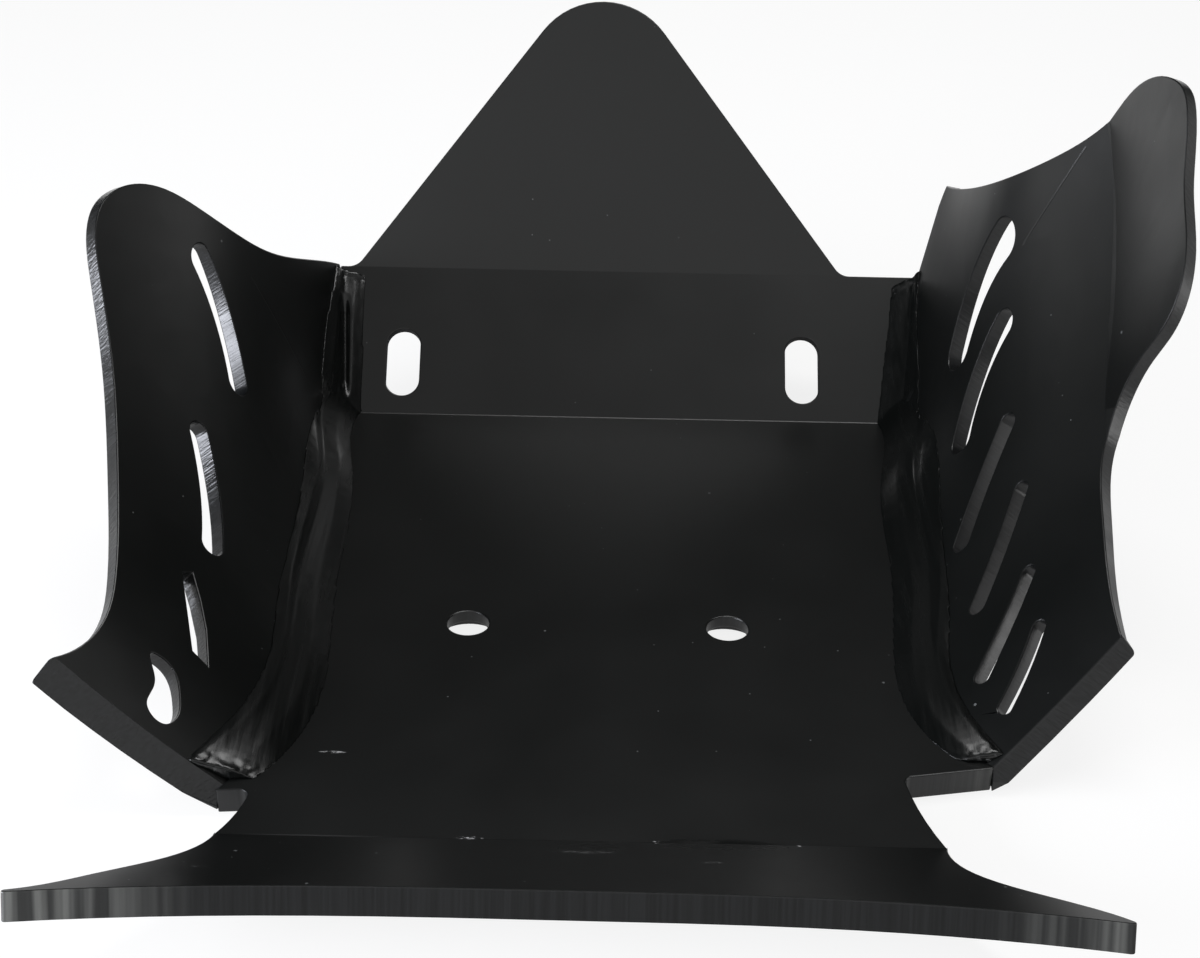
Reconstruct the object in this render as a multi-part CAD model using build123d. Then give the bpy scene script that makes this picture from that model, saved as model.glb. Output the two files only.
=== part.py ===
"""Welded plastic skid plate: one folded sheet, two twisted side panels and two weld beads.

Millimetres, X to the right, Y forward, Z up, belly on Z = 0, Y = 0 on the line of the two floor holes.
"""
import os
from math import asin, atan2, cos, radians, sin, sqrt, tan

from build123d import *

os.makedirs("parts", exist_ok=True)

# Sheets
plate_thickness = 9.5
panel_thickness = 6.35
bend_inside_radius = 1.5

# Side profile of the folded sheet, measured on its upper face
front_bend_y = 164.0
rear_bend_y = -123.0
ramp_angle = 44.0
ramp_length = 70.0
nose_angle = 62.0
nose_length = 121.8
tail_angle = 22.0

# Nose outline
nose_offset = -2.5
nose_base_half_width = 110.0
nose_tip_radius = 34.5
nose_foot_radius = 8.0

# Tail outline, as (X, distance up the tail from its bend)
tail_left_side = ((-122.0, 0.0), (-133.0, 24.0), (-149.0, 38.0), (-163.5, 50.0), (-173.5, 55.0))
tail_right_side = ((113.5, 0.0), (122.0, 28.5), (138.0, 43.5), (157.5, 62.5))
tail_rim = ((158.0, 65.0), (124.0, 56.5), (66.5, 48.7), (-4.0, 46.5), (-77.0, 46.5), (-129.0, 50.0), (-174.0, 57.5))
tail_corner_radius = 1.2
neck_corner_left = (-114.0, -100.0)
left_ear_corner = (-125.2, -101.0)
neck_corner_right = (104.0, -87.0)
neck_bulge = 1.5
notch_radius = 3.0

# Mounting holes and slots
hole_diameter = 15.75
hole_spacing = 97.0
hole_recess_diameter = 26.0
hole_land = 4.8
slot_width = 15.0
slot_length = 31.5
slot_spacing = 179.0
slot_up_ramp = 24.5
slot_recess_margin = 4.5
slot_land = 4.8

# Side panels: for each station along Y the half width of the joint and the lean from the floor
left_stations = (
    (-125.0, 134.0, 31.0),
    (-98.0, 125.0, 32.0),
    (-75.0, 114.5, 36.0),
    (-48.0, 109.0, 40.0),
    (0.0, 110.5, 48.0),
    (60.0, 112.5, 58.0),
    (110.0, 115.5, 68.0),
    (164.0, 118.5, 78.0),
    (214.0, 112.0, 80.0),
    (245.0, 108.0, 80.0),
)
right_stations = (
    (-110.0, 148.0, 33.0),
    (-81.0, 136.0, 35.0),
    (-62.0, 125.5, 37.0),
    (-43.0, 120.5, 40.0),
    (0.0, 122.0, 48.0),
    (65.0, 126.5, 59.0),
    (114.0, 130.0, 68.5),
    (164.0, 134.0, 78.0),
    (214.0, 134.0, 80.0),
    (245.0, 134.0, 80.0),
)
joint_step = 0.8
panel_reach = 225.0
panel_root = 26.0

# Panel outlines are drawn on a plane that leans at this angle, as (along Y, up the plane)
outline_lean = 55.0
left_outline_base = 110.0
right_outline_base = 122.0
left_top_edge = ((216.0, 47.5), (174.0, 71.0), (143.5, 91.5), (116.0, 125.5), (97.0, 148.8), (85.0, 154.8),
                 (76.0, 155.0), (67.5, 150.5), (56.5, 138.5), (33.0, 114.0), (-12.0, 85.5), (-45.0, 70.5),
                 (-64.0, 65.5), (-74.0, 66.3), (-84.0, 72.0))
rear_allowance = 18.0
# Rear edges run straight from the tip to the foot on the inner face and slant across the sheet
left_rear_tip = (-178.0, -85.0, 49.5)
left_rear_foot = (-128.0, -98.0, 9.5)
right_rear_tip = (178.5, -59.0, 51.0)
right_rear_foot = (137.5, -79.5, 11.0)
left_rear_slant = (4.6, -5.0, -5.8)
right_rear_slant = (4.6, -2.6, -5.8)
foot_stand = 1.5
right_front_edge = ((220.0, 53.0), (218.0, 84.5))
right_top_edge = ((210.5, 95.5), (165.0, 115.2), (132.5, 145.0), (117.0, 171.0), (110.5, 189.5), (101.0, 201.0),
                  (90.0, 203.5), (82.5, 198.5), (65.0, 179.0), (47.0, 165.0), (36.0, 152.0), (31.0, 138.0),
                  (31.0, 125.0), (26.5, 108.0), (16.0, 93.8), (-10.0, 80.4), (-45.0, 67.8), (-57.0, 64.2))

# Vent slits: start, middle and end of the centre line on the same plane, and the width
left_slits = (
    ((103.7, 110.7), (96.2, 86.2), (82.2, 66.7), 11.6),
    ((41.4, 69.9), (21.4, 54.9), (-1.6, 44.9), 9.7),
)
left_point_slit = ((-25.5, 50.7), (-39.8, 43.2), (-54.7, 35.4), (-56.9, 28.6), (-42.8, 34.5), (-31.5, 41.0),
                   (-22.3, 47.5))
left_drop_slit = ((-64.4, 45.9), (-66.0, 38.5), (-75.0, 31.5), (-82.4, 29.4), (-85.3, 30.6), (-82.6, 39.2),
                  (-72.6, 41.6))
right_slits = (
    ((138.2, 106.5), (140.2, 81.6), (133.0, 59.5), 17.4),
    ((110.9, 84.9), (104.5, 60.7), (88.6, 41.6), 12.4),
    ((67.9, 64.2), (53.4, 44.2), (33.4, 25.7), 9.2),
    ((30.6, 57.4), (12.6, 41.4), (-8.9, 23.9), 7.3),
    ((-11.0, 47.0), (-28.3, 31.9), (-44.2, 16.8), 5.7),
    ((-37.8, 42.2), (-49.7, 31.7), (-61.1, 19.1), 4.8),
)

# Wing of the right panel, folded along a straight line
wing_fold_angle = 14.0
wing_fold_reaches = (95.0, 95.0, 95.0, 95.0, 92.0, 123.5, 171.0, 232.0, 300.0, 342.0)
wing_trim_depth = 30.0

# Weld beads: leg on the floor, and for each station the leg up the panel
bead_floor_leg = 11.0
bead_ridge_stand = 3.0
bead_bulge = 0.8
bead_root = 3.0
bead_sink = 0.4
left_bead_legs = (14.0, 14.0, 14.0, 12.0, 13.0, 14.0, 18.0, 22.0, 5.0, 5.0)
right_bead_legs = (5.0, 5.0, 8.0, 9.0, 13.0, 18.0, 24.0, 25.0, 9.0, 9.0)
bead_end_gap = 3.0


def shift(point, angle, distance):
    """Point moved by a distance at an angle from the first axis."""
    return (point[0] + distance * cos(radians(angle)), point[1] + distance * sin(radians(angle)))


def other_face(points, thickness):
    """Line offset to the right of a run of points, with mitred corners."""
    normals = []
    for start, end in zip(points[:-1], points[1:]):
        length = sqrt((end[0] - start[0]) ** 2 + (end[1] - start[1]) ** 2)
        normals.append(((end[1] - start[1]) / length, -(end[0] - start[0]) / length))
    lower = [(points[0][0] + thickness * normals[0][0], points[0][1] + thickness * normals[0][1])]
    for index in range(1, len(points) - 1):
        first = normals[index - 1]
        second = normals[index]
        scale = thickness / (1.0 + first[0] * second[0] + first[1] * second[1])
        lower.append((points[index][0] + scale * (first[0] + second[0]),
                      points[index][1] + scale * (first[1] + second[1])))
    last = normals[-1]
    lower.append((points[-1][0] + thickness * last[0], points[-1][1] + thickness * last[1]))
    return lower


def side_prism(points):
    """Solid with the given outline in the side view, centred on X = 0."""
    outline = Face(Wire.make_polygon([(0.0, y, z) for y, z in points]))
    return extrude(outline, amount=stock_half_width, dir=(1, 0, 0), both=True)


def bend_edges(solid, corners):
    """Edges along X that pass through the given corners of the side view."""
    found = []
    for edge in solid.edges().filter_by(Axis.X):
        for corner in corners:
            if abs(edge.center().Y - corner[0]) + abs(edge.center().Z - corner[1]) < 0.01:
                found.append(edge)
    return found


def ramp_rise(y):
    """Height of the ramp's upper face above the floor's upper face."""
    return (y - front_bend_y) * tan(radians(ramp_angle))


def joint_line(stations, side):
    """Plan points of the sheet's edge along a side panel, from the ear to the top of the ramp."""
    points = []
    for y, half_width, lean in stations[1:-1]:
        rise = max(0.0, ramp_rise(y))
        points.append((side * (half_width - joint_step + rise / tan(radians(lean))), y))
    return points


# Folded sheet before its outline is cut
stock_half_width = 260.0
overrun = 25.0
floor_z = plate_thickness
rear_bend = (rear_bend_y, floor_z)
front_bend = (front_bend_y, floor_z)
ramp_top = shift(front_bend, ramp_angle, ramp_length)
nose_end = shift(ramp_top, nose_angle, nose_length + overrun)
tail_end = shift(rear_bend, 180.0 - tail_angle, tail_rim[0][1] + overrun)
upper_line = [tail_end, rear_bend, front_bend, ramp_top, nose_end]
lower_line = other_face(upper_line, plate_thickness)
stock = side_prism(upper_line + lower_line[::-1])
stock = fillet(bend_edges(stock, upper_line[1:-1]), bend_inside_radius)
stock = fillet(bend_edges(stock, lower_line[1:-1]), bend_inside_radius + plate_thickness)
headroom = 400.0
above_sheet = side_prism(upper_line + [(nose_end[0], headroom), (tail_end[0], headroom)])

# Floor and ramp outline, cut straight down
left_joint = [left_ear_corner] + joint_line(left_stations, -1)[1:]
right_joint = joint_line(right_stations, 1)
floor_front = nose_end[0] + overrun
neck_left = tail_left_side[0]
neck_right = tail_right_side[0]
middle_left = ((neck_left[0] + neck_corner_left[0]) / 2 + neck_bulge, (rear_bend_y + neck_corner_left[1]) / 2)
middle_right = ((neck_right[0] + neck_corner_right[0]) / 2 - neck_bulge, (rear_bend_y + neck_corner_right[1]) / 2)
floor_lines = [
    Spline(*left_joint),
    Polyline(left_joint[-1], (left_joint[-1][0], floor_front), (right_joint[-1][0], floor_front), right_joint[-1]),
    Spline(*right_joint),
    Polyline(right_joint[0], neck_corner_right),
    ThreePointArc(neck_corner_right, middle_right, (neck_right[0], rear_bend_y)),
    Polyline((neck_right[0], rear_bend_y), (neck_left[0], rear_bend_y)),
    ThreePointArc((neck_left[0], rear_bend_y), middle_left, neck_corner_left),
    Polyline(neck_corner_left, left_joint[0]),
]
floor_shape = make_face(Curve() + floor_lines)
notch_points = []
for vertex in floor_shape.vertices():
    for corner in (neck_corner_left, neck_corner_right):
        if abs(vertex.X - corner[0]) + abs(vertex.Y - corner[1]) < 0.01:
            notch_points.append(vertex)
floor_shape = fillet(notch_points, notch_radius)
floor_field = Pos(0, (rear_bend_y + floor_front - overrun) / 2) * Rectangle(
    2 * stock_half_width, floor_front - overrun - rear_bend_y)
floor_waste = extrude(floor_field - floor_shape, amount=headroom, both=True)

# Nose outline, cut square to the nose
nose_plane = Plane(origin=(nose_offset, ramp_top[0], ramp_top[1]), x_dir=(1, 0, 0),
                   z_dir=(0, -sin(radians(nose_angle)), cos(radians(nose_angle))))
tip_centre = nose_length - nose_tip_radius
foot_to_centre = sqrt(nose_base_half_width ** 2 + tip_centre ** 2)
flank_angle = atan2(tip_centre, nose_base_half_width) + asin(nose_tip_radius / foot_to_centre)
flank_length = sqrt(foot_to_centre ** 2 - nose_tip_radius ** 2)
flank_top = (nose_base_half_width - flank_length * cos(flank_angle), flank_length * sin(flank_angle))
nose_lines = [
    Polyline((-flank_top[0], flank_top[1]), (-nose_base_half_width, 0), (-stock_half_width, 0),
             (-stock_half_width, -overrun), (stock_half_width, -overrun), (stock_half_width, 0),
             (nose_base_half_width, 0), flank_top),
    ThreePointArc(flank_top, (0, nose_length), (-flank_top[0], flank_top[1])),
]
nose_shape = make_face(Curve() + nose_lines)
foot_points = []
for vertex in nose_shape.vertices():
    if abs(abs(vertex.X) - nose_base_half_width) + abs(vertex.Y) < 0.01:
        foot_points.append(vertex)
nose_shape = fillet(foot_points, nose_foot_radius)
nose_field = Pos(0, (nose_length + 2 * overrun) / 2) * Rectangle(3 * stock_half_width, nose_length + 2 * overrun)
nose_waste = extrude(nose_plane * (nose_field - nose_shape), amount=3 * plate_thickness, both=True)

# Tail outline, cut square to the tail
tail_plane = Plane(origin=(0, rear_bend[0], rear_bend[1]), x_dir=(-1, 0, 0),
                   z_dir=(0, sin(radians(tail_angle)), cos(radians(tail_angle))))
tail_start = -bend_inside_radius - plate_thickness * tan(radians(tail_angle))
left_side = [(-x, v) for x, v in tail_left_side]
right_side = [(-x, v) for x, v in tail_right_side]
rim = [(-x, v) for x, v in tail_rim]
tail_lines = [
    Polyline((left_side[0][0], tail_start), left_side[0]),
    Spline(*left_side),
    Polyline(left_side[-1], rim[-1]),
    Spline(*rim),
    Polyline(rim[0], right_side[-1]),
    Spline(*right_side),
    Polyline(right_side[0], (right_side[0][0], tail_start), (left_side[0][0], tail_start)),
]
tail_shape = make_face(Curve() + tail_lines)
tip_points = []
for vertex in tail_shape.vertices():
    for corner in (left_side[-1], right_side[-1], rim[0], rim[-1]):
        if abs(vertex.X - corner[0]) + abs(vertex.Y - corner[1]) < 0.01:
            tip_points.append(vertex)
tail_shape = fillet(tip_points, tail_corner_radius)
tail_depth = tail_rim[0][1] + 2 * overrun
tail_field = Pos(0, tail_start + tail_depth / 2) * Rectangle(2 * stock_half_width, tail_depth)
tail_waste = extrude(tail_plane * (tail_field - tail_shape), amount=3 * plate_thickness, both=True)

# Holes in the floor and slots in the ramp, each recessed from the outside
ramp_plane = Plane(origin=(0, front_bend[0], front_bend[1]), x_dir=(1, 0, 0),
                   z_dir=(0, -sin(radians(ramp_angle)), cos(radians(ramp_angle))))
openings = []
for side in (-1, 1):
    hole_spot = Pos(side * hole_spacing / 2, 0, 0)
    openings.append(hole_spot * Cylinder(hole_diameter / 2, 4 * plate_thickness))
    recess_depth = plate_thickness - hole_land
    openings.append(hole_spot * Cylinder(hole_recess_diameter / 2, 2 * recess_depth))
    slot_spot = ramp_plane * Pos(side * slot_spacing / 2, slot_up_ramp) * Rot(0, 0, 90)
    openings.append(extrude(slot_spot * SlotOverall(slot_length, slot_width), amount=2 * plate_thickness, both=True))
    wide_slot = SlotOverall(slot_length + 2 * slot_recess_margin, slot_width + 2 * slot_recess_margin)
    slot_recess = extrude(Pos(0, 0, -2 * plate_thickness) * wide_slot, amount=2 * plate_thickness - slot_land)
    openings.append(slot_spot * slot_recess)

main_plate = stock - floor_waste - nose_waste - tail_waste - openings
keep = stock + above_sheet


def middle_face(stations, side):
    """Smooth twisted face through the middle of the panel's sheet."""
    runs = []
    for y, half_width, lean in stations:
        start = shift((half_width, floor_z), lean - 90.0, panel_thickness / 2)
        low = shift(start, lean, -panel_root)
        high = shift(start, lean, panel_reach)
        runs.append(Wire([Edge.make_line((side * low[0], y, low[1]), (side * high[0], y, high[1]))]))
    return Shell.make_loft(runs).faces()[0]


def outline_plane(side, base):
    """Plane on which a panel's outline is drawn."""
    lean = radians(outline_lean)
    return Plane(origin=(side * base, 0, floor_z), x_dir=(0, 1, 0), z_dir=(sin(lean), 0, -side * cos(lean)))


def cut_face(face, plane, lines, slits):
    """Part of a face inside the outline and outside the slits, both pushed along the plane's normal."""
    shape = make_face(Curve() + lines)
    for slit in slits:
        shape = shape - slit
    prism = extrude(plane * shape, amount=headroom / 4, both=True)
    return face.intersect(prism).faces()[0]


def slot_shape(start, middle, end, width):
    """Round-ended slit along an arc."""
    return SlotArc(ThreePointArc(start, middle, end), width)


def outward(side):
    """Rough direction out of a panel."""
    lean = radians(outline_lean)
    return (side * sin(lean), 0, -cos(lean))


def panel_trim(stations, side, base, lines, slits):
    """Thick block whose sides run square to the panel's sheet along its outline and slits."""
    face = cut_face(middle_face(stations, side), outline_plane(side, base), lines, slits)
    outside = Solid.thicken(face, wing_trim_depth, normal_override=outward(side))
    inside = Solid.thicken(face, wing_trim_depth, normal_override=outward(-side))
    return outside + inside


def panel_stock(stations, side, fold_reaches, fold_angle):
    """Twisted sheet through the panel's cross-sections, folded at a reach from its joint."""
    runs = []
    for station, fold_reach in zip(stations, fold_reaches):
        y, half_width, lean = station
        foot = shift((half_width, floor_z), lean, -panel_root)
        fold = shift((half_width, floor_z), lean, fold_reach)
        top = shift(fold, lean + fold_angle, panel_reach)
        inner_run = [foot, top]
        if fold_angle > 0:
            inner_run = [foot, fold, top]
        run = inner_run + other_face(inner_run, panel_thickness)[::-1]
        runs.append(Wire.make_polygon([(side * x, y, z) for x, z in run], close=True))
    return Solid.make_loft(runs)


def rear_waste(side, tip, foot, slant):
    """Block behind the slanted plane of a panel's rear edge."""
    along = Vector(*foot) - Vector(*tip)
    across = Vector(side * slant[0], slant[1], slant[2])
    square = along.cross(across)
    if square.Y > 0:
        square = -square
    edge_plane = Plane(origin=tip, x_dir=along, z_dir=square)
    return edge_plane * Pos(0, 0, stock_half_width / 2) * Box(headroom, headroom, stock_half_width)


def behind_ear(corner):
    """Block behind the sheet's ear, stepped back outward of the ear's corner."""
    inward = Pos(corner[0] / 2, corner[1] - headroom / 2, 0) * Box(abs(corner[0]), headroom, headroom)
    outward_block = Pos(0, corner[1] - foot_stand - headroom / 2, 0) * Box(2 * stock_half_width, headroom, headroom)
    return inward + outward_block


# Left side panel
lowest = -2 * panel_root
left_back = left_top_edge[-1][0] - rear_allowance
left_fold_reaches = [0.0 for station in left_stations]
left_lines = [
    Spline(*left_top_edge),
    Polyline(left_top_edge[-1], (left_back, left_top_edge[-1][1]), (left_back, lowest), (left_top_edge[0][0], lowest),
             left_top_edge[0]),
]
left_cuts = [slot_shape(*slit) for slit in left_slits]
left_cuts.append(make_face(Polyline(*left_point_slit, close=True)))
left_cuts.append(make_face(Spline(*left_drop_slit, periodic=True)))
left_trim = panel_trim(left_stations, -1, left_outline_base, left_lines, left_cuts)
left_sheet = panel_stock(left_stations, -1, left_fold_reaches, 0.0)
left_side_panel = (left_sheet & left_trim & keep) - main_plate
left_side_panel = left_side_panel - rear_waste(-1, left_rear_tip, left_rear_foot, left_rear_slant)
left_side_panel = left_side_panel - behind_ear(left_joint[0])

# Right side panel, its wing folded along a straight line
right_back = right_top_edge[-1][0] - rear_allowance - rear_allowance
right_lines = [
    Polyline(right_front_edge[0], right_front_edge[1], right_top_edge[0]),
    Spline(*right_top_edge),
    Polyline(right_top_edge[-1], (right_back, right_top_edge[-1][1]), (right_back, lowest),
             (right_front_edge[0][0], lowest), right_front_edge[0]),
]
right_cuts = [slot_shape(*slit) for slit in right_slits]
right_trim = panel_trim(right_stations, 1, right_outline_base, right_lines, right_cuts)
right_sheet = panel_stock(right_stations, 1, wing_fold_reaches, wing_fold_angle)
right_side_panel = (right_sheet & right_trim & keep) - main_plate
right_side_panel = right_side_panel - rear_waste(1, right_rear_tip, right_rear_foot, right_rear_slant)
right_side_panel = right_side_panel - behind_ear(right_joint[0])


def bead_run(station, side, panel_leg, y, rise):
    """Cross-section of a weld bead at one station, its toes sunk into the sheets."""
    half_width, lean = station[1:]
    corner = (half_width + rise / tan(radians(lean)), floor_z + rise)
    toe = (corner[0] - bead_floor_leg, corner[1])
    ridge = shift(shift(corner, lean, panel_leg / 2), lean + 90.0, bead_ridge_stand)
    panel_toe = shift(corner, lean, panel_leg)
    floor_end = (toe[0] + bead_sink * (toe[0] - ridge[0]), toe[1] + bead_sink * (toe[1] - ridge[1]))
    panel_end = (panel_toe[0] + bead_sink * (panel_toe[0] - ridge[0]),
                 panel_toe[1] + bead_sink * (panel_toe[1] - ridge[1]))
    root = (corner[0] + bead_root, corner[1] - bead_root)
    floor_swell = shift(((toe[0] + ridge[0]) / 2, (toe[1] + ridge[1]) / 2), lean / 2 + 90.0, bead_bulge)
    panel_swell = shift(((panel_toe[0] + ridge[0]) / 2, (panel_toe[1] + ridge[1]) / 2), lean + 90.0, bead_bulge)
    points = (floor_end, floor_swell, ridge, panel_swell, panel_end, root)
    return Wire.make_polygon([(side * x, y, z) for x, z in points], close=True)


def weld_bead(stations, side, legs):
    """Bead along the floor and up the ramp."""
    floor_runs = []
    ramp_runs = []
    for index in range(1, len(stations) - 1):
        y = stations[index][0]
        if index == 1:
            y = y + bead_end_gap
        if y <= front_bend_y:
            floor_runs.append(bead_run(stations[index], side, legs[index], y, 0.0))
        if y >= front_bend_y:
            y = y - bead_end_gap
            ramp_runs.append(bead_run(stations[index], side, legs[index], y, ramp_rise(y)))
    return (Solid.make_loft(floor_runs) + Solid.make_loft(ramp_runs)) & above_sheet


left_weld_bead = weld_bead(left_stations, -1, left_bead_legs) - main_plate - left_side_panel
right_weld_bead = weld_bead(right_stations, 1, right_bead_legs) - main_plate - right_side_panel

nodes = {
    "main_plate": main_plate,
    "left_side_panel": left_side_panel,
    "right_side_panel": right_side_panel,
    "left_weld_bead": left_weld_bead,
    "right_weld_bead": right_weld_bead,
}
for name, shape in nodes.items():
    piece = max(shape.solids(), key=lambda solid: solid.volume)
    print(name, "solids", len(shape.solids()), "volume", round(piece.volume))
    export_step(piece, "parts/" + name + ".step")
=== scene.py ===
"""A motorcycle skid plate, folded and welded from black plastic sheet, on a pale studio floor."""
import math

import bpy
from mathutils import Matrix, Vector


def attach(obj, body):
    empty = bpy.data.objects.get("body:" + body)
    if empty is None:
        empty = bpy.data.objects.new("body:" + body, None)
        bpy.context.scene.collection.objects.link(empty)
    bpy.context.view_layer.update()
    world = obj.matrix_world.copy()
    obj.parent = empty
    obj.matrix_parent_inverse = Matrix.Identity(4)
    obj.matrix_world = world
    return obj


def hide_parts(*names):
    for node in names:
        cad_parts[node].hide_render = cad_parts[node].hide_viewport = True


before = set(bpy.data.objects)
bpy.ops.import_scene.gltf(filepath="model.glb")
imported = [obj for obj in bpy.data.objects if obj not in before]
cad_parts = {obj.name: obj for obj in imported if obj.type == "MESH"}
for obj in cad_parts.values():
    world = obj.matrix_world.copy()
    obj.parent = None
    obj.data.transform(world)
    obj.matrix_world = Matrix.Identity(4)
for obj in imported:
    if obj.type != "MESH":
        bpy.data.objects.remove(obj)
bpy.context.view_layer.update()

# Lengths and places are in metres, angles in degrees (the camera's in radians), colours in linear light.
# A grain is the scale of a texture, in features per metre, and levels are ramp stops: place and value.

# Shaping of the copied sheets
merge_distance = 0.00001
edge_break = 0.00045
edge_break_steps = 2
sharp_edge_angle = 40
least_side_turn = 0.5
flat_side_angle = 25
flat_dissolve_angle = 0.4
flat_face_weight = 100
plate_crease_angle = 20
panel_crease_angle = 12
tip_round = 0.0022
tip_round_steps = 4
tip_reach = 0.0006
left_tip = ((-0.17899, -0.08496, 0.04995), (-0.18487, -0.09052, 0.04382))
right_tip = ((0.17757, -0.05952, 0.04998), (0.18247, -0.06196, 0.04450))

# Shaping of the copied weld beads
bead_voxel = 0.0008
bead_relax_rounds = 6
hand_wave_length = 0.030
hand_wave_height = 0.0003
torn_wave_length = 0.0040
torn_wave_height = 0.0014
torn_reach = 0.006
ramp_way = (0, -0.69, 0.72)
groove_foot = Vector((-0.1141, 0.1636, 0))
groove_top = Vector((-0.1170, 0.2018, 0))
groove_width = 0.0017
groove_depth = 0.0028
groove_end_slope = 6.0

# Black sheet
sheet_dark = (0.0024, 0.0029, 0.0027)
sheet_pale = (0.0034, 0.0039, 0.0037)
mottle_grain = 14.0
mottle_levels = ((0.3, sheet_dark), (0.7, sheet_pale))
# Dust: a speck's radius is a share of the texture's cell, and only a share of the cells hold one
dust_colour = (0.10, 0.105, 0.105)
fine_dust_grain = 150.0
fine_dust_radius = 0.045
fine_dust_share = 0.30
big_dust_grain = 46.0
big_dust_radius = 0.026
big_dust_share = 0.40
big_dust_shift = (0.31, 0.17, 0.05)
# Haze in the roughness, and relief: the skin's and the scores' heights are shares of it
haze_grain = 26.0
haze_levels = ((0.3, 0.29), (0.7, 0.34))
sheet_relief = 0.0003
skin_grain = 900.0
skin_share = 0.04
score_share = 0.25
score_half_width = 0.0006
score_depth_reach = 0.006
# Each line scored across a panel: start, end and the way that the sheet faces there
panel_scores = (
    ((0.1860, 0.1184, 0.1580), (0.1676, 0.1236, 0.1140), (-0.86, -0.40, 0.32)),
    ((-0.1443, 0.1270, 0.0915), (-0.1262, 0.1401, 0.0383), (0.95, -0.14, 0.29)),
)
scuff_colour = (0.42, 0.42, 0.42)
scuff_stretch = (0.6, 1.6, 1.6)
scuff_grain = 1100.0
scuff_levels = ((0.50, 0.0), (0.58, 1.0))
# Each scuff: centre, radii and strength
scuffs = (
    ((-0.0893, -0.0795, 0.0095), (0.0050, 0.0007, 0.002), 1.0),
    ((-0.0398, -0.1226, 0.0095), (0.0046, 0.0010, 0.002), 1.0),
    ((0.0200, -0.1228, 0.0095), (0.0014, 0.0009, 0.002), 1.0),
    ((0.0655, -0.1236, 0.0098), (0.0013, 0.0008, 0.002), 1.0),
    ((-0.0030, -0.1330, 0.0135), (0.0115, 0.0013, 0.003), 0.22),
    ((0.0370, -0.1400, 0.0163), (0.0045, 0.0011, 0.003), 0.22),
    ((-0.1215, -0.1520, 0.0213), (0.0045, 0.0008, 0.003), 0.16),
)
stress_line_place = (-0.0890, -0.1229, 0.0095)
stress_line_radii = (0.0280, 0.0005, 0.002)
stress_line_strength = 0.06
stress_line_fade = 0.7
smear_stretch = (0.5, 2.2, 2.2)
smear_grain = 120.0
smear_levels = ((0.42, 0.0), (0.54, 0.12))
# Each handling smear on the tail: centre and radii
smears = (
    ((-0.001, -0.1295, 0.012), (0.013, 0.006, 0.01)),
    ((0.040, -0.1250, 0.010), (0.026, 0.005, 0.01)),
)
# The right panel's wing: a point on its fold, the way out across it, the way it faces,
# how deep its lean goes, and the lean as a slope
wing_fold = Vector((0.1924, 0.1122, 0.1652))
wing_outward = Vector((0.345, -0.660, 0.667))
wing_facing = Vector((-0.938, -0.261, 0.227))
wing_depth = 0.012
wing_lean = 0.21

# Routed edges
edge_dark = (0.0028, 0.0032, 0.0033)
edge_pale = (0.0080, 0.0086, 0.0092)
chatter_grain = 1000.0
chatter_levels = ((0.35, edge_dark), (0.70, edge_pale))
# Painted highlight: pale bands painted onto the rim's ends, by their distance out along the rim
rim_end_highlight_colour = (0.16, 0.162, 0.152)
rim_end_highlight_levels = ((0.118, 0.0), (0.165, 1.0))
rim_highlight_band_grain = 260.0
rim_highlight_band_levels = ((0.40, 0.15), (0.66, 1.0))
gloss_grain = 90.0
gloss_ramp_start = 0.35
gloss_ramp_end = 0.65
gloss_spread = 0.11

# Weld
weld_black = (0.0030, 0.0035, 0.0033)
streak_stretch = (1.0, 0.05, 0.35)
streak_grain = 460.0
streak_roughness = ((0.3, 0.17), (0.7, 0.30))
streak_relief = 0.00006
# Pale patches at the bead ends: whitened torn plastic at one end, painted glints at the others
tear_and_glint_colour = (0.16, 0.16, 0.16)
tear_and_glint_grain = 420.0
tear_and_glint_levels = ((0.60, 0.0), (0.68, 1.0))
tear_and_glint_fade = 0.6
# Each torn end of a bead, whitened plastic and painted glints: centre and radii
tears_and_glints = (
    ((-0.1165, 0.2085, 0.0535), (0.004, 0.007, 0.007)),
    ((0.1300, 0.2100, 0.0560), (0.004, 0.005, 0.005)),
    ((-0.1270, -0.0975, 0.0130), (0.008, 0.003, 0.005)),
    ((0.1330, -0.0800, 0.0120), (0.006, 0.003, 0.005)),
)

# The camera, fitted to the photograph's 1200 by 958 frame
camera_place = Vector((-0.0015, -0.62064, 0.43113))
camera_pitch = math.radians(30.0)
camera_yaw = 0.00188
camera_roll = 0.02168
lens_length = 60.0
sensor_width = 36.0
nearest_view = 0.01

# Brightness of the room, by the sine of the height above the horizon
white = (1.0, 1.0, 1.0)
back_levels = (
    (0.0, 1.7), (0.06, 0.9), (0.14, 0.26), (0.26, 0.07), (0.55, 0.09), (0.72, 0.02), (1.0, 0.2),
)
side_levels = ((0.0, 0.9), (0.10, 0.75), (0.18, 0.48), (0.30, 0.18), (0.45, 0.06), (1.0, 0.1))
front_levels = ((0.0, 0.38), (0.20, 0.80), (0.62, 0.80), (0.92, 0.36), (1.0, 0.30))
# How the three parts of the room meet, by the share of the way that points ahead or aside
front_blend = ((0.25, 1.0), (0.50, 0.0))
back_blend = ((0.30, 1.0), (0.50, 0.10))
side_blend = ((0.64, 0.0), (0.88, 1.0))

# The floor: its colour to the lamps and to the eye, and the white that it shows straight
floor_level = -0.0002
floor_half_width = 6.0
floor_lit_colour = 0.85
floor_seen_colour = 0.20
floor_shown = 0.84
floor_roughness = 0.9
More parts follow.
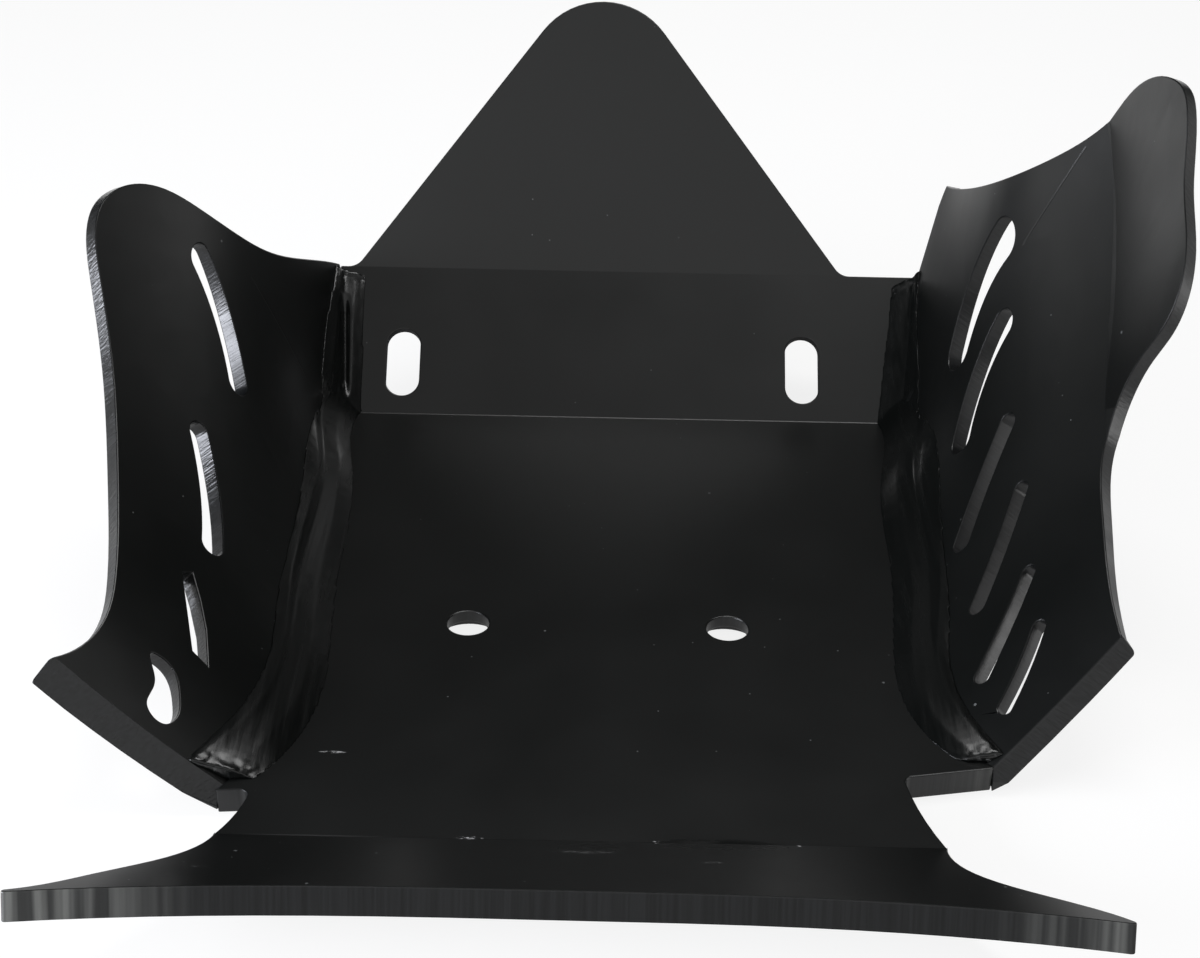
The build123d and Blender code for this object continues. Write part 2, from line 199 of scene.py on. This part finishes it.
# Painted glow and shade on the floor, seen only in gloss, by depth from front to back, by distance aside
# and by slant
depth_start = -1.0
depth_span = 4.0
near_levels = ((-0.184, 0.06), (-0.12, 0.62), (0.10, 0.62), (0.22, 0.03))
far_levels = ((0.72, 0.0), (0.92, 1.0))
slant_levels = ((0.48, 1.0), (0.70, 0.12))
least_depth = 0.05
outside_levels = ((0.21, 0.0), (0.28, 1.3))
outside_start = ((0.20, 0.0), (0.35, 1.0))
# A painted white glow: an oval patch on the floor behind the plate, seen only in gloss
glow_patch_place = (-0.13, 0.68, 0.0)
glow_patch_radii = (0.16, 0.19, 1.0)
glow_patch_level = 1.6
glow_patch_fade = 0.6

# The lamps
plate_middle = (0, 0, 0.08)
cool_white = (0.88, 0.91, 1.0)


def place_camera():
    """Sets the camera where the photograph was taken from."""
    ahead = Vector((
        math.sin(camera_yaw) * math.cos(camera_pitch),
        math.cos(camera_yaw) * math.cos(camera_pitch),
        -math.sin(camera_pitch),
    ))
    level_right = ahead.cross(Vector((0, 0, 1))).normalized()
    level_up = level_right.cross(ahead)
    right = math.cos(camera_roll) * level_right + math.sin(camera_roll) * level_up
    up = -math.sin(camera_roll) * level_right + math.cos(camera_roll) * level_up
    turn = Matrix((right, up, -ahead)).transposed()
    lens = bpy.data.cameras.new("photo_camera")
    lens.lens = lens_length
    lens.sensor_width = sensor_width
    lens.sensor_fit = "HORIZONTAL"
    lens.clip_start = nearest_view
    camera = bpy.data.objects.new("photo_camera", lens)
    camera.matrix_world = Matrix.Translation(camera_place) @ turn.to_4x4()
    bpy.context.scene.collection.objects.link(camera)
    bpy.context.scene.camera = camera


def softbox(name, place, aim, width, height, watts, tint=white):
    """A rectangular studio light at a place, turned to face a point, that the camera doesn't see."""
    lamp = bpy.data.lights.new(name, "AREA")
    lamp.shape = "RECTANGLE"
    lamp.size = width
    lamp.size_y = height
    lamp.energy = watts
    lamp.color = tint
    box = bpy.data.objects.new(name, lamp)
    box.location = place
    box.rotation_euler = (Vector(aim) - Vector(place)).to_track_quat("-Z", "Y").to_euler()
    box.visible_camera = False
    bpy.context.scene.collection.objects.link(box)


def wire(tree, source, target):
    """Joins an output socket to an input socket."""
    tree.links.new(source, target)


def add(tree, kind, **settings):
    """A new node of a kind, with its properties set."""
    node = tree.nodes.new(kind)
    for key, value in settings.items():
        setattr(node, key, value)
    return node


def math_node(tree, operation, first, second=0.0):
    """A Math node on sockets or numbers, and its output."""
    node = add(tree, "ShaderNodeMath", operation=operation)
    for index, value in enumerate((first, second)):
        if isinstance(value, (int, float)):
            node.inputs[index].default_value = value
        else:
            wire(tree, value, node.inputs[index])
    return node.outputs[0]


def times(tree, first, second):
    """The product of two sockets or numbers."""
    return math_node(tree, "MULTIPLY", first, second)


def minus(tree, first, second):
    """The difference of two sockets or numbers."""
    return math_node(tree, "SUBTRACT", first, second)


def larger(tree, *values):
    """The largest of several sockets or numbers."""
    best = values[0]
    for value in values[1:]:
        best = math_node(tree, "MAXIMUM", best, value)
    return best


def within(tree, value, half):
    """1 where a value lies within a half width of zero on either side, 0 elsewhere."""
    return math_node(tree, "LESS_THAN", math_node(tree, "ABSOLUTE", value), half)


def ramp(tree, source, *stops):
    """A colour ramp with (place, grey or colour) stops, and its colour output."""
    node = add(tree, "ShaderNodeValToRGB")
    wire(tree, source, node.inputs["Fac"])
    elements = node.color_ramp.elements
    while len(elements) < len(stops):
        elements.new(0.5)
    for element, (place, shade) in zip(elements, stops):
        element.position = place
        colour = (shade, shade, shade) if isinstance(shade, (int, float)) else shade
        element.color = (*colour, 1.0)
    return node.outputs["Color"]


def object_place(tree, scale=(1, 1, 1), shift=(0, 0, 0)):
    """Object coordinates through a Mapping node."""
    source = add(tree, "ShaderNodeTexCoord")
    mapping = add(tree, "ShaderNodeMapping")
    mapping.inputs["Scale"].default_value = scale
    mapping.inputs["Location"].default_value = shift
    wire(tree, source.outputs["Object"], mapping.inputs["Vector"])
    return mapping.outputs["Vector"]


def noise(tree, vector, scale, detail=2.0, roughness=0.5):
    """A Noise texture's grey output."""
    node = add(tree, "ShaderNodeTexNoise")
    node.inputs["Scale"].default_value = scale
    node.inputs["Detail"].default_value = detail
    node.inputs["Roughness"].default_value = roughness
    wire(tree, vector, node.inputs["Vector"])
    return node.outputs["Fac"]


def mix_colour(tree, factor, first, second):
    """A Mix node on two colours."""
    node = add(tree, "ShaderNodeMix", data_type="RGBA")
    wire(tree, factor, node.inputs["Factor"])
    for socket, value in ((node.inputs["A"], first), (node.inputs["B"], second)):
        if isinstance(value, tuple):
            socket.default_value = (*value, 1.0)
        else:
            wire(tree, value, socket)
    return node.outputs["Result"]


def new_material(name):
    """An empty node material with its Principled shader."""
    material = bpy.data.materials.new(name)
    material.use_nodes = True
    tree = material.node_tree
    return material, tree, tree.nodes["Principled BSDF"]


def bump(tree, shader, height, distance):
    """A Bump node on the shader's normal."""
    node = add(tree, "ShaderNodeBump")
    node.inputs["Strength"].default_value = 1.0
    node.inputs["Distance"].default_value = distance
    wire(tree, height, node.inputs["Height"])
    wire(tree, node.outputs["Normal"], shader.inputs["Normal"])


def patch(tree, centre, radii, fade=0.4):
    """1 inside an ellipsoid on the object, fading to 0 at its skin."""
    scale = tuple(1.0 / radius for radius in radii)
    shift = tuple(-middle / radius for middle, radius in zip(centre, radii))
    length = add(tree, "ShaderNodeVectorMath", operation="LENGTH")
    wire(tree, object_place(tree, scale=scale, shift=shift), length.inputs[0])
    return ramp(tree, length.outputs["Value"], (1.0 - fade, 1.0), (1.0, 0.0))


def along_way(tree, way):
    """Distance along a direction on the object."""
    source = add(tree, "ShaderNodeTexCoord")
    dot = add(tree, "ShaderNodeVectorMath", operation="DOT_PRODUCT")
    wire(tree, source.outputs["Object"], dot.inputs[0])
    dot.inputs[1].default_value = way
    return dot.outputs["Value"]


def reach_from(tree, place, way):
    """Distance along a direction from a place on the object."""
    return minus(tree, along_way(tree, way), place.dot(way))


def flat_place(tree, first_way, second_way):
    """Place on the sheet as two distances, with nothing across its thickness."""
    join = add(tree, "ShaderNodeCombineXYZ")
    wire(tree, along_way(tree, first_way), join.inputs["X"])
    wire(tree, along_way(tree, second_way), join.inputs["Y"])
    return join.outputs["Vector"]


def few_specks(tree, vector, scale, radius, share):
    """Dots at a share of random places: 1 inside a dot, 0 outside."""
    node = add(tree, "ShaderNodeTexVoronoi", feature="F1")
    node.inputs["Scale"].default_value = scale
    wire(tree, vector, node.inputs["Vector"])
    dot = math_node(tree, "LESS_THAN", node.outputs["Distance"], radius)
    pick = add(tree, "ShaderNodeSeparateColor")
    wire(tree, node.outputs["Color"], pick.inputs[0])
    chosen = math_node(tree, "LESS_THAN", pick.outputs[0], share)
    return times(tree, dot, chosen)


def scored_line(tree, start, end, facing):
    """A fine straight line scored across a sheet: 1 at its middle, 0 off it."""
    first = Vector(start)
    last = Vector(end)
    out = Vector(facing).normalized()
    middle = 0.5 * (first + last)
    along = (last - first).normalized()
    beside = along.cross(out).normalized()
    off = math_node(tree, "ABSOLUTE", reach_from(tree, middle, beside))
    share = minus(tree, 1.0, math_node(tree, "DIVIDE", off, score_half_width))
    line = larger(tree, share, 0.0)
    for way, half in ((along, 0.5 * (last - first).length), (out, score_depth_reach)):
        line = times(tree, line, within(tree, reach_from(tree, middle, way), half))
    return line


def leaned_wing(tree):
    """Rises outward from the right panel's fold, so that the wing mirrors the room further round."""
    reach = reach_from(tree, wing_fold, wing_outward)
    inside = within(tree, reach_from(tree, wing_fold, wing_facing), wing_depth)
    rise = times(tree, larger(tree, reach, 0.0), wing_lean / sheet_relief)
    return times(tree, rise, inside)


def wear_marks(tree):
    """Whitened scuffs and a stress line where the sheet was knocked and bent."""
    stretched = object_place(tree, scale=scuff_stretch)
    torn = noise(tree, stretched, scuff_grain, detail=2.0, roughness=0.6)
    grit = ramp(tree, torn, *scuff_levels)
    marks = []
    for centre, radii, strength in scuffs:
        worn = times(tree, patch(tree, centre, radii), strength)
        marks.append(times(tree, worn, grit))
    stress_line = patch(tree, stress_line_place, stress_line_radii, stress_line_fade)
    marks.append(times(tree, stress_line, stress_line_strength))
    return larger(tree, *marks)


def black_sheet_finish():
    """Satin black sheet: faint mottle, dust, handling smears, scuffs, a fine skin and scored lines."""
    material, tree, shader = new_material("black_sheet")
    plain = object_place(tree)
    body = ramp(tree, noise(tree, plain, mottle_grain, detail=3.0), *mottle_levels)
    fine_dust = few_specks(tree, plain, fine_dust_grain, fine_dust_radius, fine_dust_share)
    shifted = object_place(tree, shift=big_dust_shift)
    big_dust = few_specks(tree, shifted, big_dust_grain, big_dust_radius, big_dust_share)
    dusty = mix_colour(tree, larger(tree, fine_dust, big_dust), body, dust_colour)
    colour = mix_colour(tree, wear_marks(tree), dusty, scuff_colour)
    wire(tree, colour, shader.inputs["Base Color"])
    haze = ramp(tree, noise(tree, plain, haze_grain, detail=4.0), *haze_levels)
    smear_noise = noise(tree, object_place(tree, scale=smear_stretch), smear_grain, detail=3.0)
    smear = ramp(tree, smear_noise, *smear_levels)
    handled = larger(tree, *(patch(tree, centre, radii) for centre, radii in smears))
    rough = minus(tree, haze, times(tree, smear, handled))
    wire(tree, rough, shader.inputs["Roughness"])
    skin = times(tree, noise(tree, plain, skin_grain, detail=2.0), skin_share)
    scores = larger(tree, *(scored_line(tree, *score) for score in panel_scores))
    scored = minus(tree, skin, times(tree, scores, score_share))
    height = math_node(tree, "ADD", scored, leaned_wing(tree))
    bump(tree, shader, height, sheet_relief)
    return material


def routed_edge_finish(name, first_way, second_way, chatter, gloss, painted_highlight_ends=False):
    """A routed edge: fine chatter lines across the sheet's thickness, with a painted highlight of pale
    bands at a rim's ends.
    """
    material, tree, shader = new_material(name)
    flat = flat_place(tree, first_way, second_way)
    lines = noise(tree, flat, chatter_grain, detail=1.0)
    body = ramp(tree, lines, *chatter_levels)
    # Painted highlight: pale bands mixed into the edge's colour towards a rim's ends
    if painted_highlight_ends:
        reach = math_node(tree, "ABSOLUTE", along_way(tree, first_way))
        far = ramp(tree, reach, *rim_end_highlight_levels)
        rim_highlight_bands = ramp(tree, noise(tree, flat, rim_highlight_band_grain), *rim_highlight_band_levels)
        body = mix_colour(tree, times(tree, far, rim_highlight_bands), body, rim_end_highlight_colour)
    wire(tree, body, shader.inputs["Base Color"])
    broad = noise(tree, flat, gloss_grain)
    rough = ramp(tree, broad, (gloss_ramp_start, gloss), (gloss_ramp_end, gloss + gloss_spread))
    wire(tree, rough, shader.inputs["Roughness"])
    bump(tree, shader, lines, chatter)
    return material


def weld_finish():
    """Glossy weld bead: streaks drawn along its length, and at its ends whitened tears, partly painted
    glints.
    """
    material, tree, shader = new_material("weld")
    streak = noise(tree, object_place(tree, scale=streak_stretch), streak_grain, detail=3.0)
    # Whitened tears and painted glints: pale patches at the bead ends
    tear_and_glint = ramp(tree, noise(tree, object_place(tree), tear_and_glint_grain, detail=3.0), *tear_and_glint_levels)
    ends = larger(tree, *(patch(tree, centre, radii, tear_and_glint_fade) for centre, radii in tears_and_glints))
    colour = mix_colour(tree, times(tree, tear_and_glint, ends), weld_black, tear_and_glint_colour)
    wire(tree, colour, shader.inputs["Base Color"])
    rough = ramp(tree, streak, *streak_roughness)
    wire(tree, rough, shader.inputs["Roughness"])
    bump(tree, shader, streak, streak_relief)
    return material


def only(piece):
    """Deselects everything else and makes this piece the active one."""
    bpy.ops.object.select_all(action="DESELECT")
    piece.select_set(True)
    bpy.context.view_layer.objects.active = piece


def node_copy(node_name, piece_name):
    """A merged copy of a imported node, on its own mesh."""
    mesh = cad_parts[node_name].data.copy()
    mesh.materials.clear()
    piece = bpy.data.objects.new(piece_name, mesh)
    bpy.context.scene.collection.objects.link(piece)
    only(piece)
    bpy.ops.mesh.customdata_custom_splitnormals_clear()
    bpy.ops.object.mode_set(mode="EDIT")
    bpy.ops.mesh.select_all(action="SELECT")
    bpy.ops.mesh.remove_doubles(threshold=merge_distance)
    bpy.ops.mesh.select_all(action="DESELECT")
    bpy.ops.object.mode_set(mode="OBJECT")
    return piece


def select_flat_side(piece, way):
    """Selects the largest facet that is turned this way."""
    best = max(
        piece.data.polygons,
        key=lambda facet: facet.area if facet.normal.dot(way) > least_side_turn else 0.0,
    )
    best.select = True


def round_tip(piece, tip):
    """Eases a panel's rear tip: the edges that lie along the tip's line across the sheet."""
    inner, outer = (Vector(point) for point in tip)
    way = (outer - inner).normalized()
    for edge in piece.data.edges:
        away = []
        for index in edge.vertices:
            reach = piece.data.vertices[index].co - inner
            away.append((reach - reach.dot(way) * way).length)
        edge.select = max(away) < tip_reach
    bpy.ops.object.mode_set(mode="EDIT")
    bpy.ops.mesh.select_mode(type="EDGE")
    bpy.ops.mesh.bevel(offset=tip_round, segments=tip_round_steps, affect="EDGES", clamp_overlap=True)
    bpy.ops.mesh.select_all(action="DESELECT")
    bpy.ops.object.mode_set(mode="OBJECT")


def sheet_piece(node_name, piece_name, side_way, crease_angle, edge_finish, tip=None):
    """A copy of a sheet: broad faces and routed edges in two finishes, with its sharp edges broken."""
    piece = node_copy(node_name, piece_name)
    piece.data.materials.append(edge_finish)
    piece.data.materials.append(sheet_finish)
    for way in (Vector(side_way), -Vector(side_way)):
        select_flat_side(piece, way)
    bpy.ops.object.mode_set(mode="EDIT")
    bpy.ops.mesh.select_mode(type="FACE")
    bpy.ops.mesh.faces_select_linked_flat(sharpness=math.radians(flat_side_angle))
    piece.active_material_index = 1
    bpy.ops.object.material_slot_assign()
    bpy.ops.mesh.select_all(action="SELECT")
    bpy.ops.mesh.dissolve_limited(angle_limit=math.radians(flat_dissolve_angle), delimit={"MATERIAL"})
    bpy.ops.mesh.select_all(action="DESELECT")
    bpy.ops.object.mode_set(mode="OBJECT")
    if tip:
        round_tip(piece, tip)
    round_over = piece.modifiers.new("edge_break", "BEVEL")
    round_over.width = edge_break
    round_over.segments = edge_break_steps
    round_over.limit_method = "ANGLE"
    round_over.angle_limit = math.radians(sharp_edge_angle)
    round_over.use_clamp_overlap = False
    bpy.ops.object.modifier_apply(modifier="edge_break")
    bpy.ops.object.shade_smooth_by_angle(angle=math.radians(crease_angle))
    flatten = piece.modifiers.new("flat_faces", "WEIGHTED_NORMAL")
    flatten.mode = "FACE_AREA"
    flatten.weight = flat_face_weight
    flatten.keep_sharp = True
    bpy.ops.object.modifier_apply(modifier="flat_faces")
    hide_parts(node_name)
    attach(piece, "root")


def wave(piece, name, length, height, group=""):
    """Pushes a skin in and out by a soft noise texture."""
    clouds = bpy.data.textures.new(name, "CLOUDS")
    clouds.noise_scale = length
    push = piece.modifiers.new(name, "DISPLACE")
    push.texture = clouds
    push.texture_coords = "GLOBAL"
    push.strength = height
    push.mid_level = 0.5
    push.vertex_group = group
    bpy.ops.object.modifier_apply(modifier=name)


def carve_groove(piece):
    """Presses a groove into a bead along a line up the ramp, shallow at both ends."""
    for vertex in piece.data.vertices:
        share = (vertex.co.y - groove_foot.y) / (groove_top.y - groove_foot.y)
        if 0.0 < share < 1.0:
            middle = groove_foot.x + share * (groove_top.x - groove_foot.x)
            fall = math.exp(-((vertex.co.x - middle) / groove_width) ** 2)
            ends = min(1.0, groove_end_slope * share, groove_end_slope * (1.0 - share))
            vertex.co -= Vector(ramp_way) * groove_depth * fall * ends


def bead_piece(node_name, piece_name):
    """A copy of a weld bead: one skin, waved by the hand-fed rod and torn off at its ends."""
    piece = node_copy(node_name, piece_name)
    piece.data.remesh_voxel_size = bead_voxel
    bpy.ops.object.voxel_remesh()
    relax = piece.modifiers.new("relax", "SMOOTH")
    relax.iterations = bead_relax_rounds
    bpy.ops.object.modifier_apply(modifier="relax")
    lengths = [vertex.co.y for vertex in piece.data.vertices]
    rear_end = min(lengths)
    top_end = max(lengths)
    torn = piece.vertex_groups.new(name="torn_end")
    for vertex in piece.data.vertices:
        reach = min(vertex.co.y - rear_end, top_end - vertex.co.y)
        torn.add([vertex.index], max(0.0, 1.0 - reach / torn_reach), "REPLACE")
    wave(piece, "hand_wave", hand_wave_length, hand_wave_height)
    wave(piece, "torn", torn_wave_length, torn_wave_height, "torn_end")
    bpy.ops.object.shade_smooth()
    piece.data.materials.append(bead_finish)
    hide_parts(node_name)
    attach(piece, "root")
    return piece


def seen(tree, straight, mirrored):
    """One level for what the camera sees straight or through glass, another for what gloss shows it."""
    paths = add(tree, "ShaderNodeLightPath")
    direct = larger(tree, paths.outputs["Is Camera Ray"], paths.outputs["Is Transmission Ray"])
    shown = times(tree, direct, straight)
    gloss = times(tree, paths.outputs["Is Glossy Ray"], mirrored)
    return larger(tree, shown, gloss)


def painted_floor_glow_and_shade(tree):
    """Painted glow and shade on the floor, seen only in gloss: painted shade close behind, a painted
    white glow beside, far behind and in an oval patch.
    """
    depth = along_way(tree, (0, 1, 0))
    aside = math_node(tree, "ABSOLUTE", along_way(tree, (1, 0, 0)))
    share = math_node(tree, "DIVIDE", minus(tree, depth, depth_start), depth_span)
    near, far = (
        ramp(tree, share, *(((place - depth_start) / depth_span, level) for place, level in levels))
        for levels in (near_levels, far_levels)
    )
    slant = math_node(tree, "DIVIDE", aside, larger(tree, depth, least_depth))
    far_middle = times(tree, far, ramp(tree, slant, *slant_levels))
    glow_patch = times(tree, patch(tree, glow_patch_place, glow_patch_radii, glow_patch_fade), glow_patch_level)
    outside = times(tree, ramp(tree, aside, *outside_levels), ramp(tree, depth, *outside_start))
    return larger(tree, near, far_middle, glow_patch, outside)


def studio_floor():
    """A pale floor that shows white and keeps the shadow, with painted glow and shade that only gloss
    shows.
    """
    bpy.ops.object.select_all(action="DESELECT")
    bpy.ops.mesh.primitive_plane_add(size=2 * floor_half_width, location=(0, 0, floor_level))
    floor = bpy.context.active_object
    floor.name = "studio_floor"
    material, tree, shader = new_material("pale_floor")
    colour = ramp(tree, seen(tree, 1.0, 1.0), (0.0, floor_lit_colour), (1.0, floor_seen_colour))
    wire(tree, colour, shader.inputs["Base Color"])
    shader.inputs["Emission Color"].default_value = (*white, 1.0)
    # Emission: an even white to the eye, and painted glow and shade that only gloss shows
    wire(tree, seen(tree, floor_shown, painted_floor_glow_and_shade(tree)), shader.inputs["Emission Strength"])
    shader.inputs["Roughness"].default_value = floor_roughness
    shader.inputs["Specular IOR Level"].default_value = 0.0
    floor.data.materials.append(material)


def studio_world():
    """A pale room in front, and a dim one with a white horizon behind."""
    world = bpy.data.worlds.new("studio")
    bpy.context.scene.world = world
    world.use_nodes = True
    tree = world.node_tree
    way = add(tree, "ShaderNodeTexCoord")
    split = add(tree, "ShaderNodeSeparateXYZ")
    wire(tree, way.outputs["Generated"], split.inputs["Vector"])
    height = split.outputs["Z"]
    behind = ramp(tree, height, *back_levels)
    beside = ramp(tree, height, *side_levels)
    ahead = ramp(tree, height, *front_levels)
    turn = math_node(tree, "ADD", times(tree, split.outputs["Y"], 0.5), 0.5)
    aside = math_node(tree, "ABSOLUTE", split.outputs["X"])
    glow = times(tree, behind, ramp(tree, aside, *back_blend))
    around = mix_colour(tree, ramp(tree, aside, *side_blend), glow, beside)
    room = mix_colour(tree, ramp(tree, turn, *front_blend), around, ahead)
    paths = add(tree, "ShaderNodeLightPath")
    level = mix_colour(tree, paths.outputs["Is Camera Ray"], room, white)
    wire(tree, level, tree.nodes["Background"].inputs["Color"])


bpy.context.scene.view_settings.view_transform = "Standard"
place_camera()
studio_world()
studio_floor()
softbox(
    "left_strip", place=(-0.91, -0.36, 0.26), aim=plate_middle,
    width=0.75, height=0.28, watts=14.0, tint=cool_white,
)
softbox(
    "right_strip", place=(0.95, -0.27, 0.10), aim=plate_middle,
    width=0.50, height=0.14, watts=1.1,
)
softbox(
    "top_box", place=(0.20, 0.30, 1.2), aim=(0.08, 0.10, 0),
    width=0.8, height=0.35, watts=5.2,
)

sheet_finish = black_sheet_finish()
rim_finish = routed_edge_finish(
    "routed_rim", first_way=(1, 0, 0), second_way=(0, 0.05, 0),
    chatter=0.00007, gloss=0.29, painted_highlight_ends=True,
)
left_edge_finish = routed_edge_finish(
    "routed_left_edge", first_way=(0, 1, 0), second_way=(-0.574, 0, 0.819),
    chatter=0.00015, gloss=0.20,
)
right_edge_finish = routed_edge_finish(
    "routed_right_edge", first_way=(0, 1, 0), second_way=(0.574, 0, 0.819),
    chatter=0.00008, gloss=0.28,
)
bead_finish = weld_finish()

sheet_piece(
    "main_plate", "folded_plate", side_way=(0, 0, 1),
    crease_angle=plate_crease_angle, edge_finish=rim_finish,
)
sheet_piece(
    "left_side_panel", "left_panel", side_way=(1, 0, 0.3),
    crease_angle=panel_crease_angle, edge_finish=left_edge_finish, tip=left_tip,
)
sheet_piece(
    "right_side_panel", "right_panel", side_way=(-1, 0, 0.3),
    crease_angle=panel_crease_angle, edge_finish=right_edge_finish, tip=right_tip,
)
left_bead = bead_piece("left_weld_bead", "left_bead")
carve_groove(left_bead)
bead_piece("right_weld_bead", "right_bead")
